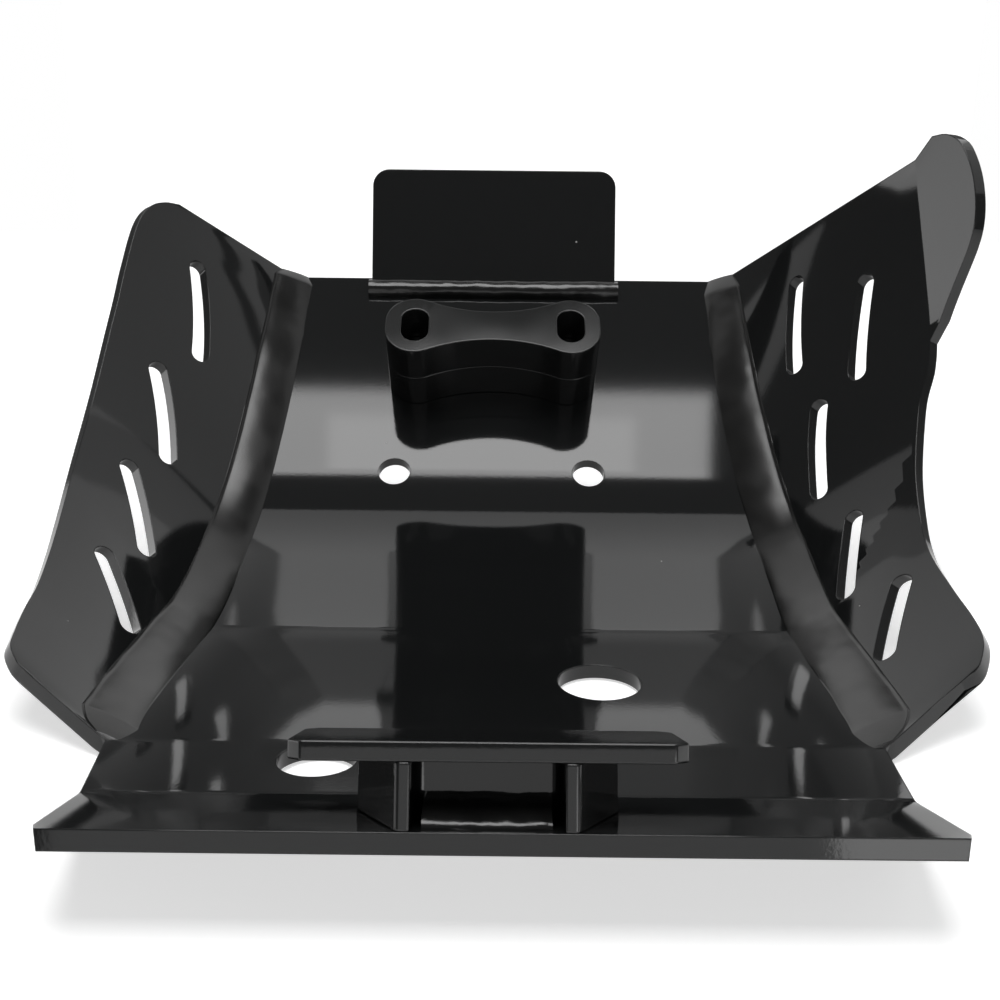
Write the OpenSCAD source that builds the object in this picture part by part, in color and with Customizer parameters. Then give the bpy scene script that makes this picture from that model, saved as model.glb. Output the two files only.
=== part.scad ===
// Welded plastic skid plate for an off-road motorcycle.
// The floor of the pan is level, +Y points to the front of the motorcycle, +Z up.
// The origin is the middle of the top face of the front mounting block.

/* [Sheet] */
// thickness of the pan and wing sheet
sheet_t = 6; // [5:0.5:7]

/* [Pan profile] */
// length of the rear strip, from its cut edge to the first bend
rear_len = 61; // [50:1:70]
// rise of the rear strip towards the rear, degrees
rear_angle = 21.5; // [16:0.5:26]
// length of the strip between the first and second bends
mid_len = 42; // [38:1:50]
// rise of that strip towards the rear, degrees
mid_angle = 4.5; // [2:0.5:8]
// length of the level floor
floor_len = 108; // [96:1:120]
// sudden rise where the front curve starts, degrees
front_kink = 6; // [2:1:10]
// rise of the flat front strip, degrees
front_angle = 40; // [36:1:44]
// inner radius of the front curve
curve_r = 180; // [165:5:195]
// length of the flat front strip
front_len = 157; // [145:1:165]

/* [Pan outline] */
// half width at the rear edge, left side
rear_half_left = 124; // [115:1:128]
// half width at the rear edge, right side
rear_half_right = 132; // [120:1:136]
// half width where the left wing starts
waist_half_left = 138; // [134:1:142]
// half width where the right wing starts
waist_half_right = 143; // [139:1:147]
// bevel of the two rear corners
rear_corner = 5; // [2:0.5:10]

/* [Pan holes] */
// radius of the drain hole in the floor
drain_r = 17; // [14:0.5:20]
// distance of the drain hole from the centre line
drain_x = 45; // [38:1:52]
// radius of the hole in the strip behind the floor
rear_hole_r = 14; // [10:0.5:14]
// distance of that hole from the centre line
rear_hole_x = 59.5; // [55:0.5:65]
// distance of that hole from the first bend
rear_hole_u = 27.5; // [26:0.5:28]
// radius of the two front holes
front_hole_r = 8.5; // [6:0.5:10]
// spacing of the two front holes
front_hole_gap = 104; // [94:1:114]
// distance of the front holes from the end of the front curve
front_hole_t = 11; // [11:0.5:16]

/* [Wings] */
// radius of the curve of the left wing
left_bend_r = 325; // [315:1:335]
// radius of the curve of the right wing
right_bend_r = 255; // [250:1:260]
// inward fold of the lobe at the top of the right wing, degrees
lobe_fold = 15; // [8:1:20]
// width of the vent slots
slot_w = 10; // [7:0.5:11]
// length of the longest vent slot
slot_len = 62; // [54:1:64]
// radius of the curve of each vent slot
slot_r = 190; // [150:5:300]

/* [Wing welds] */
// width of each weld bead over the pan
bead_pan_leg = 11; // [8:0.5:13]
// width of each weld bead up the wing
bead_wing_leg = 15; // [10:0.5:17]

/* [Front tab] */
// width of the tab
tab_w = 147; // [130:1:160]
// height of the tab above the pan edge
tab_h = 65; // [50:1:80]
// rise of the tab, degrees
tab_angle = 75; // [65:1:85]
// radius of its top corners
tab_corner_r = 10; // [5:0.5:15]
// radius of the weld bead at its foot
tab_bead_r = 6.5; // [4:0.5:8]

/* [Front mounting block] */
// height of each of its two layers
block_layer = 21.5; // [18:0.5:25]
// spacing of the two lobes, middle to middle
lobe_gap = 84; // [76:1:92]
// radius of each lobe
lobe_r = 16; // [14:0.5:18]
// straight length between the two arcs of a lobe
lobe_len = 7; // [4:0.5:10]
// width of the waist between the lobes
waist_w = 21; // [16:0.5:26]
// distance of the block from the end of the front curve
block_t = 77.5; // [74:0.5:84]
// radius of the arcs of the slot in the upper layer
pocket_r = 7.3; // [6:0.1:8]
// straight length of that slot
pocket_len = 8.2; // [6:0.1:9]
// radius of the bolt hole in the lower layer and the pan
bolt_r = 4.25; // [3.25:0.25:5.25]

/* [Rear bracket] */
// height of the bracket block
bracket_h = 18.5; // [15:0.5:22]
// width of the block at the rear edge
bracket_rear_w = 51; // [47:1:55]
// width of the block at its front end
bracket_front_w = 78; // [70:1:86]
// length of the block along the pan
bracket_len = 34; // [32:1:38]
// width of the pocket that is open to the rear
pocket_w = 42; // [38:0.5:43]
// depth of that pocket
pocket_depth = 24; // [20:0.5:26]
// thickness of the cross plate
cross_t = 5.5; // [4:0.5:7]
// width of the cross plate
cross_w = 110; // [100:1:120]
// length of the cross plate along the pan
cross_len = 35; // [34:1:38]
// bevel of its corners
cross_bevel = 4; // [2:0.5:6]

/* [Hidden] */

sheet_colour = [0.05, 0.05, 0.055];
weld_colour = [0.12, 0.12, 0.12];
block_colour = [0.08, 0.08, 0.085];
far = 700;

// Profile of the upper face of the pan, as [y, z] points and directions in degrees.
function heading(a) = [cos(a), sin(a)];
function normal(a) = [-sin(a), cos(a)];
bend_2 = [-floor_len / 2, 0];
bend_3 = [floor_len / 2, 0];
bend_1 = bend_2 - mid_len * heading(-mid_angle);
rear_edge = bend_1 - rear_len * heading(-rear_angle);
curve_mid = bend_3 + curve_r * normal(front_kink);
curve_end = curve_mid - curve_r * normal(front_angle);
front_edge = curve_end + front_len * heading(front_angle);

// Point below a bend where the two lower faces meet.
function mitre(p, a, b) = p - sheet_t / cos((a - b) / 2) * normal((a + b) / 2);
under_rear = rear_edge - sheet_t * normal(-rear_angle);
under_1 = mitre(bend_1, -rear_angle, -mid_angle);
under_2 = mitre(bend_2, -mid_angle, 0);
under_3 = mitre(bend_3, 0, front_kink);
under_front = front_edge - sheet_t * normal(front_angle);

// Height and slope of the upper face of the pan at the length y, from the floor forwards.
function pan_height(y) =
    y < bend_3[0] ? 0
    : y < curve_end[0] ? curve_mid[1] - sqrt(pow(curve_r, 2) - pow(y - curve_mid[0], 2))
    : curve_end[1] + (y - curve_end[0]) * tan(front_angle);
function pan_slope(y) =
    y < bend_3[0] ? 0 : y < curve_end[0] ? asin((y - curve_mid[0]) / curve_r) : front_angle;

// Each wing is a sheet ruled between the edge of the pan and the outer line of the wing. That
// line lies on a large cylinder set in the wing's own frame: x out along its axis, y round it,
// z to the inside. The left wing is built on the right and mirrored.
left_frame = [[170.8, 149.2, 79.5], [53, -20, -44], left_bend_r];
right_frame = [[170, 146.6, 65.2], [57.5, -16.5, -54], right_bend_r];

function axis_x(t) = [cos(t[2]) * cos(t[1]), sin(t[2]) * cos(t[1]), -sin(t[1])];
function axis_y(t) = [
    cos(t[2]) * sin(t[1]) * sin(t[0]) - sin(t[2]) * cos(t[0]),
    sin(t[2]) * sin(t[1]) * sin(t[0]) + cos(t[2]) * cos(t[0]),
    cos(t[1]) * sin(t[0])];
function axis_z(t) = cross(axis_x(t), axis_y(t));

// Ribs of each wing from the rear corner to the front: x and y of the outer line in the wing's
// frame, then the length along the pan and its half width at the foot of the rib.
waist_y = bend_2[0];
front_y = front_edge[0];
left_ribs = [
    [100, -160, waist_y, waist_half_left], [102, -155, -51, 139], [102, -147, -47, 139.5],
    [98, -139, -42, 140], [91, -127, -32, 140.5], [81, -111, -14, 140.5], [68, -83, 18, 139],
    [53, -43, 60, 136.5], [37, 6, 112, 133.5], [25, 55, 165, 127], [20, 82, 205, 123.5],
    [15, 107, 235, 122], [9, 118, 252, 121.5], [1, 123, 263, 121], [-8, 125, front_y, 121]];
right_ribs = [
    [128, -128, waist_y, waist_half_right], [131, -122, -50, 144.5], [130, -115, -45, 145.5],
    [126, -106, -37, 146], [117, -96, -25, 146.5], [101, -81, -4, 147], [83, -62, 26, 147],
    [71, -41, 60, 147], [61, -14, 98, 147.5], [56, 18, 135, 144.5], [58, 38, 160, 141],
    [57, 57, 185, 139], [54, 81, 212, 138], [52.3, 103, 236, 138], [52, 123, 257, 138.5],
    [52.6, 136, front_y, 139]];

// Smooth line through all the points of a list, with n steps from one to the next.
function spline(list, n) = let (
    last = len(list) - 1,
    p = concat([2 * list[0] - list[1]], list, [2 * list[last] - list[last - 1]]))
    concat([
        for (i = [1 : len(p) - 3], k = [0 : n - 1])
            let (t = k / n, a = p[i - 1], b = p[i], c = p[i + 1], d = p[i + 2])
                0.5 * (2 * b + (c - a) * t + (2 * a - 5 * b + 4 * c - d) * t * t
                    + (3 * b - a - 3 * c + d) * t * t * t)],
        [list[last]]);

rib_steps = 3;
left_rows = spline(left_ribs, rib_steps);
right_rows = spline(right_ribs, rib_steps);

// Point of a rib: its foot at k = 0, its outer end at k = 1.
function rib_foot(row) = [row[3], row[2], pan_height(row[2])];
function rib_end(row, frame) = frame[0] + row[0] * axis_x(frame[1]) + row[1] * axis_y(frame[1])
    + (frame[2] - sqrt(pow(frame[2], 2) - pow(row[1], 2))) * axis_z(frame[1]);
function rib_point(row, k, frame) = (1 - k) * rib_foot(row) + k * rib_end(row, frame);

// Direction from a point of the wing sheet to its outer side, away from the cylinder axis.
function outward(p, frame) = let (
    y = (p - frame[0]) * axis_y(frame[1]),
    z = (p - frame[0]) * axis_z(frame[1]) - frame[2],
    n = y * axis_y(frame[1]) + z * axis_z(frame[1]))
    n / norm(n);

// Draws a [y, z] outline across the whole width w of the part.
module along_x(w, shift = 0) {
    translate([shift - w / 2, 0, 0]) rotate([90, 0, 90]) linear_extrude(w) children();
}

module cylinder_x(r, w) {
    rotate([0, 90, 0]) cylinder(r = r, h = w, center = true, $fn = 240);
}

module on_front(t, n = 0) {
    translate([0, curve_end[0], curve_end[1]]) rotate([front_angle, 0, 0]) translate([0, t, n]) children();
}

module on_rear(u, n = 0) {
    translate([0, rear_edge[0], rear_edge[1]]) rotate([-rear_angle, 0, 0]) translate([0, u, n]) children();
}

module on_mid(u) {
    translate([0, bend_1[0], bend_1[1]]) rotate([-mid_angle, 0, 0]) translate([0, u, 0]) children();
}

module left_place() {
    mirror([1, 0, 0]) translate(left_frame[0]) rotate(left_frame[1]) children();
}

module right_place() {
    translate(right_frame[0]) rotate(right_frame[1]) children();
}

curve_steps = 20;
curve_headings = [for (i = [0 : curve_steps]) front_kink + (front_angle - front_kink) * i / curve_steps];

// The pan seen from the side: one sheet with three bends and the front curve.
module pan_profile() {
    upper = [for (a = curve_headings) curve_mid - curve_r * normal(a)];
    lower = [for (i = [curve_steps : -1 : 1]) curve_mid - (curve_r + sheet_t) * normal(curve_headings[i])];
    polygon(concat(
        [rear_edge, bend_1, bend_2], upper, [front_edge, under_front], lower,
        [under_3, under_2, under_1, under_rear]));
}

// The pan seen from above. Its sides are the feet of the wing ribs from the floor forwards.
module pan_outline() {
    rear_y = rear_edge[0] - sheet_t;
    nose_y = front_y + 2 * sheet_t;
    polygon(concat(
        [[rear_half_right - rear_corner, rear_y], [rear_half_right, rear_edge[0] + rear_corner]],
        [for (row = right_rows) [row[3], row[2]]],
        [[right_rows[len(right_rows) - 1][3], nose_y], [-left_rows[len(left_rows) - 1][3], nose_y]],
        [for (i = [len(left_rows) - 1 : -1 : 0]) [-left_rows[i][3], left_rows[i][2]]],
        [[-rear_half_left, rear_edge[0] + rear_corner], [-rear_half_left + rear_corner, rear_y]]));
}

module centre_pan() {
    color(sheet_colour) difference() {
        intersection() {
            along_x(4 * waist_half_right) pan_profile();
            translate([0, 0, -far]) linear_extrude(2 * far) pan_outline();
        }
        translate([drain_x, 0, 0]) cylinder(r = drain_r, h = 4 * sheet_t, center = true, $fn = 96);
        on_mid(rear_hole_u) translate([-rear_hole_x, 0, 0])
            cylinder(r = rear_hole_r, h = 4 * sheet_t, center = true, $fn = 96);
        for (x = [-front_hole_gap / 2, front_hole_gap / 2])
            on_front(front_hole_t) translate([x, 0, 0])
                cylinder(r = front_hole_r, h = 4 * sheet_t, center = true, $fn = 64);
        block_bolts() cylinder(r = bolt_r, h = 4 * sheet_t, center = true, $fn = 48);
    }
}

// Solid through closed rings of n points each, which run one after another along the sheet.
module ring_solid(rings) {
    n = len(rings[0]);
    last = len(rings) - 1;
    sides = [for (i = [0 : last - 1], k = [0 : n - 1])
        let (a = i * n + k, b = i * n + (k + 1) % n, c = a + n, d = b + n) each [[a, c, b], [b, c, d]]];
    ends = [[for (k = [0 : n - 1]) k], [for (k = [n - 1 : -1 : 0]) last * n + k]];
    polyhedron([for (ring = rings) each ring], concat(sides, ends), convexity = 6);
}

rib_parts = 6;
rim_start = 0.97;

// The lobe is flat. It starts at a fold, which runs along the ends of the last ribs.
fold_low = 11;
fold_row = fold_low * rib_steps;
fold_a = rib_end(right_ribs[fold_low], right_frame);
fold_b = rib_end(right_ribs[len(right_ribs) - 1], right_frame);
fold_u = (fold_b - fold_a) / norm(fold_b - fold_a);
fold_rib = (fold_a + fold_b) / 2 - rib_foot(right_ribs[len(right_ribs) - 3]);
fold_d = (fold_rib - (fold_rib * fold_u) * fold_u) / norm(fold_rib - (fold_rib * fold_u) * fold_u);
lobe_w = cos(lobe_fold) * fold_d + sin(lobe_fold) * cross(fold_d, fold_u);
lobe_out = cross(fold_u, lobe_w);

// Edge of the lobe, as distances along the fold and out from it, one point for each row.
lobe_line = [[1.5, 7], [8, 11.5], [16, 17.5], [24, 23.8], [31, 29], [38.5, 33], [47, 35.3], [56, 36],
    [65, 35.4], [74, 33.3], [82.5, 29.6], [89.5, 22], [92.5, 12.5]];

// Section of a wing sheet at row i: the inner face from the foot to the rim, back down the
// outer face, then the foot, which stands against the side of the pan.
function wing_ring(rows, i, frame, lobe) = let (
    slope = pan_slope(rows[i][2]),
    foot = rib_foot(rows[i]),
    n = outward(foot, frame),
    below = [0, sin(slope), -cos(slope)],
    in_lobe = lobe && i >= fold_row,
    reach = (in_lobe ? 1 : rim_start) / rib_parts,
    inner = [for (k = [0 : rib_parts]) rib_point(rows[i], k * reach, frame)],
    bend = outward(inner[rib_parts], frame),
    spot = lobe_line[i - fold_row],
    rim = in_lobe ? fold_a + spot[0] * fold_u + spot[1] * lobe_w : rib_end(rows[i], frame),
    rim_out = in_lobe ? lobe_out : outward(rim, frame))
    concat(
        inner, [rim, rim + sheet_t * rim_out],
        [inner[rib_parts] + sheet_t * (bend + rim_out) / (1 + bend * rim_out)],
        [for (k = [rib_parts - 1 : -1 : 1]) inner[k] + sheet_t * outward(inner[k], frame)],
        [foot + sheet_t * (n + below) / (1 + n * below), foot - [0, 0, sheet_t / cos(slope)]]);

module wing_sheet(rows, frame, lobe) {
    ring_solid([for (i = [0 : len(rows) - 1]) wing_ring(rows, i, frame, lobe)]);
}

// Curved slot with round ends, centred, running along y.
module vent(len = slot_len) {
    half = (len - slot_w) / slot_r * 90 / PI;
    translate([slot_r, 0]) {
        intersection() {
            difference() {
                circle(r = slot_r + slot_w / 2, $fn = 240);
                circle(r = slot_r - slot_w / 2, $fn = 240);
            }
            polygon([[0, 0], -2 * slot_r * heading(-half), -2 * slot_r * heading(half)]);
        }
        for (a = [-half, half]) translate(-slot_r * heading(a)) circle(r = slot_w / 2, $fn = 32);
    }
}

module cut_through(x, y, turn, len) {
    translate([x, y, -40]) rotate([0, 0, turn]) linear_extrude(120) vent(len);
}

module left_wing() {
    color(sheet_colour) difference() {
        mirror([1, 0, 0]) wing_sheet(left_rows, left_frame, false);
        left_place() {
            cut_through(-22.7, 64.7, 0, slot_len);
            cut_through(1, -1.2, -2, slot_len - 2);
            cut_through(22.6, -61, -1, slot_len - 6);
            cut_through(45.9, -112, -2, slot_len - 14);
        }
    }
}

module right_wing() {
    color(sheet_colour) difference() {
        wing_sheet(right_rows, right_frame, true);
        right_place() {
            cut_through(-24, 71, 8, slot_len - 3);
            cut_through(18.6, 62.5, 0, slot_len - 5);
            cut_through(4.3, -2.8, 11, slot_len - 5);
            cut_through(40.6, -63.2, 17, slot_len - 10);
            cut_through(82.3, -98.8, 17.5, slot_len - 14);
        }
    }
}

bead_steps = 7;
bead_bulge = 1.5;
bead_taper = 8;

// One ring of a weld bead: the corner, then the outer curve from the pan to the wing. The
// bead thins out over a short length at both ends.
function bead_ring(rows, i, frame) = let (
    last = len(rows) - 1,
    q = rib_foot(rows[i]),
    rib = rib_end(rows[i], frame) - q,
    up = rib / norm(rib),
    size = sqrt(min(1, (i + 1) / bead_taper, (last - i + 2) / bead_taper * 2)))
    concat([q], [for (k = [0 : bead_steps]) let (a = 90 * k / bead_steps)
        q - [size * bead_pan_leg * pow(cos(a), bead_bulge), 0, 0]
            + size * bead_wing_leg * pow(sin(a), bead_bulge) * up]);

module wing_weld(rows, frame) {
    ring_solid([for (i = [0 : len(rows) - 1]) bead_ring(rows, i, frame)]);
}

module left_wing_weld() {
    color(weld_colour) mirror([1, 0, 0]) wing_weld(left_rows, left_frame);
}

module right_wing_weld() {
    color(weld_colour) wing_weld(right_rows, right_frame);
}

// The tab stands on the upper face of the pan, its outer face at the front edge.
tab_foot = front_edge - sheet_t / sin(tab_angle - front_angle) * heading(front_angle);

module front_tab() {
    color(sheet_colour) intersection() {
        along_x(tab_w) polygon([
            tab_foot, front_edge, front_edge + tab_h * heading(tab_angle),
            front_edge + tab_h * heading(tab_angle) + sheet_t * normal(tab_angle)]);
        translate([0, front_edge[0], front_edge[1]]) rotate([tab_angle, 0, 0])
            translate([0, 0, -sheet_t]) linear_extrude(3 * sheet_t) union() {
                translate([-tab_w / 2, -40]) square([tab_w, tab_h + 40 - tab_corner_r]);
                translate([-tab_w / 2 + tab_corner_r, 0]) square([tab_w - 2 * tab_corner_r, tab_h]);
                for (s = [-1, 1]) translate([s * (tab_w / 2 - tab_corner_r), tab_h - tab_corner_r])
                    circle(r = tab_corner_r, $fn = 64);
            }
    }
}

module front_tab_weld() {
    color(weld_colour) intersection() {
        translate([0, tab_foot[0], tab_foot[1]]) cylinder_x(tab_bead_r, tab_w + 3);
        along_x(tab_w + 3) polygon([
            tab_foot, tab_foot + 20 * heading(tab_angle), tab_foot + 30 * normal(front_angle + 45),
            tab_foot - 20 * heading(front_angle)]);
    }
}

// Outline of the mounting block: two lobes joined by a waist with hollow sides.
hollow_r = (pow(lobe_gap / 2, 2) + pow(waist_w / 2 - lobe_len / 2, 2) - pow(lobe_r, 2))
    / (2 * (lobe_r - waist_w / 2 + lobe_len / 2));

module block_outline() {
    reach = hollow_r / (hollow_r + lobe_r);
    hollow_y = waist_w / 2 + hollow_r;
    tip = lobe_len / 2 + (hollow_y - lobe_len / 2) * (1 - reach);
    union() {
        difference() {
            square([lobe_gap * reach, 2 * tip], center = true);
            for (s = [-1, 1]) translate([0, s * hollow_y]) circle(r = hollow_r, $fn = 240);
        }
        for (s = [-1, 1]) translate([s * lobe_gap / 2, 0]) {
            for (k = [-1, 1]) translate([0, k * lobe_len / 2]) circle(r = lobe_r, $fn = 72);
            square([2 * lobe_r, lobe_len], center = true);
        }
    }
}

// The two bolt holes, under the front arc of each slot.
module block_bolts() {
    for (s = [-1, 1]) on_front(block_t + pocket_len / 2) translate([s * lobe_gap / 2, 0, 0]) children();
}

module mount_block_lower() {
    color(block_colour) difference() {
        on_front(block_t) linear_extrude(block_layer) block_outline();
        block_bolts() cylinder(r = bolt_r, h = 4 * block_layer, center = true, $fn = 48);
    }
}

module mount_block_upper() {
    color(block_colour) on_front(block_t, block_layer) difference() {
        linear_extrude(block_layer) block_outline();
        for (s = [-1, 1]) translate([s * lobe_gap / 2, 0, -1]) {
            for (k = [-1, 1]) translate([0, k * pocket_len / 2, 0])
                cylinder(r = pocket_r, h = block_layer + 2, $fn = 48);
            translate([-pocket_r, -pocket_len / 2, 0]) cube([2 * pocket_r, pocket_len, block_layer + 2]);
        }
    }
}

module rear_cross_plate() {
    w = cross_w / 2;
    color(sheet_colour) on_rear(0, bracket_h) linear_extrude(cross_t) polygon([
        [-w + cross_bevel, 0], [w - cross_bevel, 0], [w, cross_bevel], [w, cross_len - cross_bevel],
        [w - cross_bevel, cross_len], [-w + cross_bevel, cross_len], [-w, cross_len - cross_bevel], [-w, cross_bevel]]);
}

nose_r = 1.8;
pocket_fillet = 3;

// Block with splayed sides and a pocket open to the rear edge of the pan.
module rear_bracket_block() {
    a = bracket_rear_w / 2;
    b = bracket_front_w / 2;
    p = pocket_w / 2;
    color(block_colour) on_rear(0) linear_extrude(bracket_h) difference() {
        union() {
            polygon([[-a, nose_r], [a, nose_r], [b, bracket_len], [-b, bracket_len]]);
            for (s = [-1, 1]) translate([s * (a - nose_r), nose_r]) circle(r = nose_r, $fn = 32);
            translate([-a + nose_r, 0]) square([2 * (a - nose_r), nose_r]);
        }
        translate([-p, -1]) square([2 * p, pocket_depth + 1 - pocket_fillet]);
        translate([-p + pocket_fillet, 0]) square([2 * (p - pocket_fillet), pocket_depth]);
        for (s = [-1, 1]) translate([s * (p - pocket_fillet), pocket_depth - pocket_fillet])
            circle(r = pocket_fillet, $fn = 48);
    }
}

pocket_bead_len = 19;
pocket_bead_h = 6.5;
pocket_bead_w = pocket_w - 2 * pocket_fillet;

module rear_pocket_weld() {
    color(weld_colour) on_rear(pocket_depth) intersection() {
        along_x(pocket_bead_w) scale([pocket_bead_len, pocket_bead_h]) circle(r = 1, $fn = 64);
        translate([-far / 2, -far, 0]) cube([far, far, far]);
    }
}

rear_bead_r = 4;

module rear_bracket_weld() {
    color(weld_colour) on_rear(bracket_len) intersection() {
        cylinder_x(rear_bead_r, bracket_front_w);
        translate([-far / 2, 0, 0]) cube([far, far, far]);
    }
}

// Middle of the top face of the front mounting block, which becomes the origin.
block_top = curve_end + block_t * heading(front_angle) + 2 * block_layer * normal(front_angle);

module at_datum() {
    translate([0, -block_top[0], -block_top[1]]) children();
}

at_datum() centre_pan();
at_datum() left_wing();
at_datum() right_wing();
at_datum() left_wing_weld();
at_datum() right_wing_weld();
at_datum() front_tab();
at_datum() front_tab_weld();
at_datum() mount_block_lower();
at_datum() mount_block_upper();
at_datum() rear_cross_plate();
at_datum() rear_bracket_block();
at_datum() rear_pocket_weld();
at_datum() rear_bracket_weld();
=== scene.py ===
"""Looks of a welded plastic skid plate: smooth sheets, weld beads, mounting block, rear bracket.

Shapes are laid out in millimetres on the floor of the pan and moved to the part's frame, in
metres, when their mesh is made.
"""

import logging
import math
from collections.abc import Callable, Sequence
from dataclasses import dataclass
from enum import Enum

import bmesh
import bpy
from mathutils import Euler, Matrix, Vector, noise
from mathutils.bvhtree import BVHTree


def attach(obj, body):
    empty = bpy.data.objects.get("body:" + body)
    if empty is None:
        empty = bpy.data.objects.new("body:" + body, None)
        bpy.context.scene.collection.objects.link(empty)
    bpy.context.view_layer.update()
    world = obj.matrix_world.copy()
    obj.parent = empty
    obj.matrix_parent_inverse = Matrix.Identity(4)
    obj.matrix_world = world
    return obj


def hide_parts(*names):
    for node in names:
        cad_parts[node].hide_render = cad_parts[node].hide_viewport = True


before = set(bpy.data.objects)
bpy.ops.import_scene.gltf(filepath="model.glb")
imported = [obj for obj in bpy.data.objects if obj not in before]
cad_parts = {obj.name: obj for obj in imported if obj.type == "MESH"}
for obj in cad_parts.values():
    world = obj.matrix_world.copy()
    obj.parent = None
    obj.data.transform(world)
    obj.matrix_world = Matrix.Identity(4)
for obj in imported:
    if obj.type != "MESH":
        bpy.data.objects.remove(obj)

MM = 0.001
BODY = "root"
log = logging.getLogger("skid_plate")


class Face(Enum):
    """Index of the material slot that a face of a sheet takes."""

    GLOSS = 0
    CUT = 1
    SLOT = 2


@dataclass(frozen=True)
class PanProfile:
    """Sizes of the bent pan, in millimetres and degrees, and the points that follow from them."""

    sheet: float = 6.0
    rear_len: float = 61.0
    rear_rise: float = 21.5
    mid_len: float = 42.0
    mid_rise: float = 4.5
    floor_len: float = 108.0
    kink: float = 6.0
    front_rise: float = 40.0
    curve_r: float = 180.0
    front_len: float = 157.0
    block_at: float = 77.5
    block_layer: float = 21.5
    bend_tangent: float = 2.5

    @staticmethod
    def heading(angle: float) -> Vector:
        """Returns the direction [y, z] that rises by an angle in degrees."""
        return Vector((math.cos(math.radians(angle)), math.sin(math.radians(angle))))

    @staticmethod
    def normal(angle: float) -> Vector:
        """Returns the direction square to the heading, on its upper side."""
        return Vector((-math.sin(math.radians(angle)), math.cos(math.radians(angle))))

    @property
    def bend_2(self) -> Vector:
        """Second bend, at the rear end of the floor."""
        return Vector((-self.floor_len / 2, 0.0))

    @property
    def bend_3(self) -> Vector:
        """Third bend, at the front end of the floor."""
        return Vector((self.floor_len / 2, 0.0))

    @property
    def bend_1(self) -> Vector:
        """First bend, between the rear strip and the strip behind the floor."""
        return self.bend_2 - self.mid_len * self.heading(-self.mid_rise)

    @property
    def rear_edge(self) -> Vector:
        """Upper edge of the cut rear end."""
        return self.bend_1 - self.rear_len * self.heading(-self.rear_rise)

    @property
    def curve_mid(self) -> Vector:
        """Middle of the front curve's circle."""
        return self.bend_3 + self.curve_r * self.normal(self.kink)

    @property
    def curve_end(self) -> Vector:
        """Point where the flat front strip starts."""
        return self.curve_mid - self.curve_r * self.normal(self.front_rise)

    @property
    def front_edge(self) -> Vector:
        """Upper edge of the front end."""
        return self.curve_end + self.front_len * self.heading(self.front_rise)

    @property
    def datum(self) -> Vector:
        """Middle of the top face of the mounting block, the origin of the part."""
        top = (self.curve_end + self.block_at * self.heading(self.front_rise)
               + 2 * self.block_layer * self.normal(self.front_rise))
        return Vector((0.0, top.x, top.y))

    def height(self, y: float) -> float:
        """Height of the upper face from the floor forwards.

        Args:
            y: Length along the part.

        Returns:
            The height above the floor.
        """
        if y < self.bend_3.x:
            return 0.0
        if y < self.curve_end.x:
            return self.curve_mid.y - math.sqrt(self.curve_r ** 2 - (y - self.curve_mid.x) ** 2)
        return self.curve_end.y + (y - self.curve_end.x) * math.tan(math.radians(self.front_rise))

    def slope(self, y: float) -> float:
        """Slope of the upper face from the floor forwards, in degrees."""
        if y < self.bend_3.x:
            return 0.0
        if y < self.curve_end.x:
            return math.degrees(math.asin((y - self.curve_mid.x) / self.curve_r))
        return self.front_rise

    def bend(self, corner: Vector, before: float, after: float, steps: int = 6) -> list[tuple[Vector, float]]:
        """Rounds one bend of the sheet.

        Args:
            corner: Point where the two straight faces would meet.
            before: Heading of the sheet before the bend, in degrees.
            after: Heading of the sheet after the bend, in degrees.
            steps: Number of short faces round the bend.

        Returns:
            Points of the upper face with the heading at each.
        """
        radius = self.bend_tangent / math.tan(math.radians(after - before) / 2)
        middle = corner - self.bend_tangent * self.heading(before) + radius * self.normal(before)
        angles = [before + (after - before) * k / steps for k in range(steps + 1)]
        return [(middle - radius * self.normal(a), a) for a in angles]

    def upper_line(self) -> list[tuple[Vector, float]]:
        """Returns the points of the upper face from the rear to the front, with their headings."""
        line = [(self.rear_edge, -self.rear_rise)]
        line += self.bend(self.bend_1, -self.rear_rise, -self.mid_rise)
        line += self.bend(self.bend_2, -self.mid_rise, 0.0)
        line += self.bend(self.bend_3, 0.0, self.kink, 4)
        start, steps = self.kink + 1.2, 40
        for k in range(steps + 1):
            angle = start + (self.front_rise - start) * k / steps
            line.append((self.curve_mid - self.curve_r * self.normal(angle), angle))
        for k in range(1, 8):
            line.append((self.curve_end + 3.0 * k * self.heading(self.front_rise), self.front_rise))
        line.append((self.front_edge, self.front_rise))
        return line


PAN = PanProfile()
DATUM = PAN.datum


def smooth_line(points: Sequence[Sequence[float]], steps: int) -> list[Vector]:
    """Runs a smooth line through all the points of a list.

    Args:
        points: The points, each with the same number of values.
        steps: Number of steps from one point to the next.

    Returns:
        The points of the line, each as a vector.
    """
    rows = [Vector(p) for p in points]
    rows = [2 * rows[0] - rows[1]] + rows + [2 * rows[-1] - rows[-2]]
    line = []
    for i in range(1, len(rows) - 2):
        a, b, c, d = rows[i - 1:i + 3]
        for k in range(steps):
            t = k / steps
            line.append(0.5 * (2 * b + (c - a) * t + (2 * a - 5 * b + 4 * c - d) * t * t
                               + (3 * b - a - 3 * c + d) * t ** 3))
    return line + [rows[-2]]


def link(name: str, mesh: bpy.types.Mesh) -> bpy.types.Object:
    """Puts a mesh into the scene as an object and returns it."""
    piece = bpy.data.objects.new(name, mesh)
    bpy.context.scene.collection.objects.link(piece)
    return piece


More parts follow.
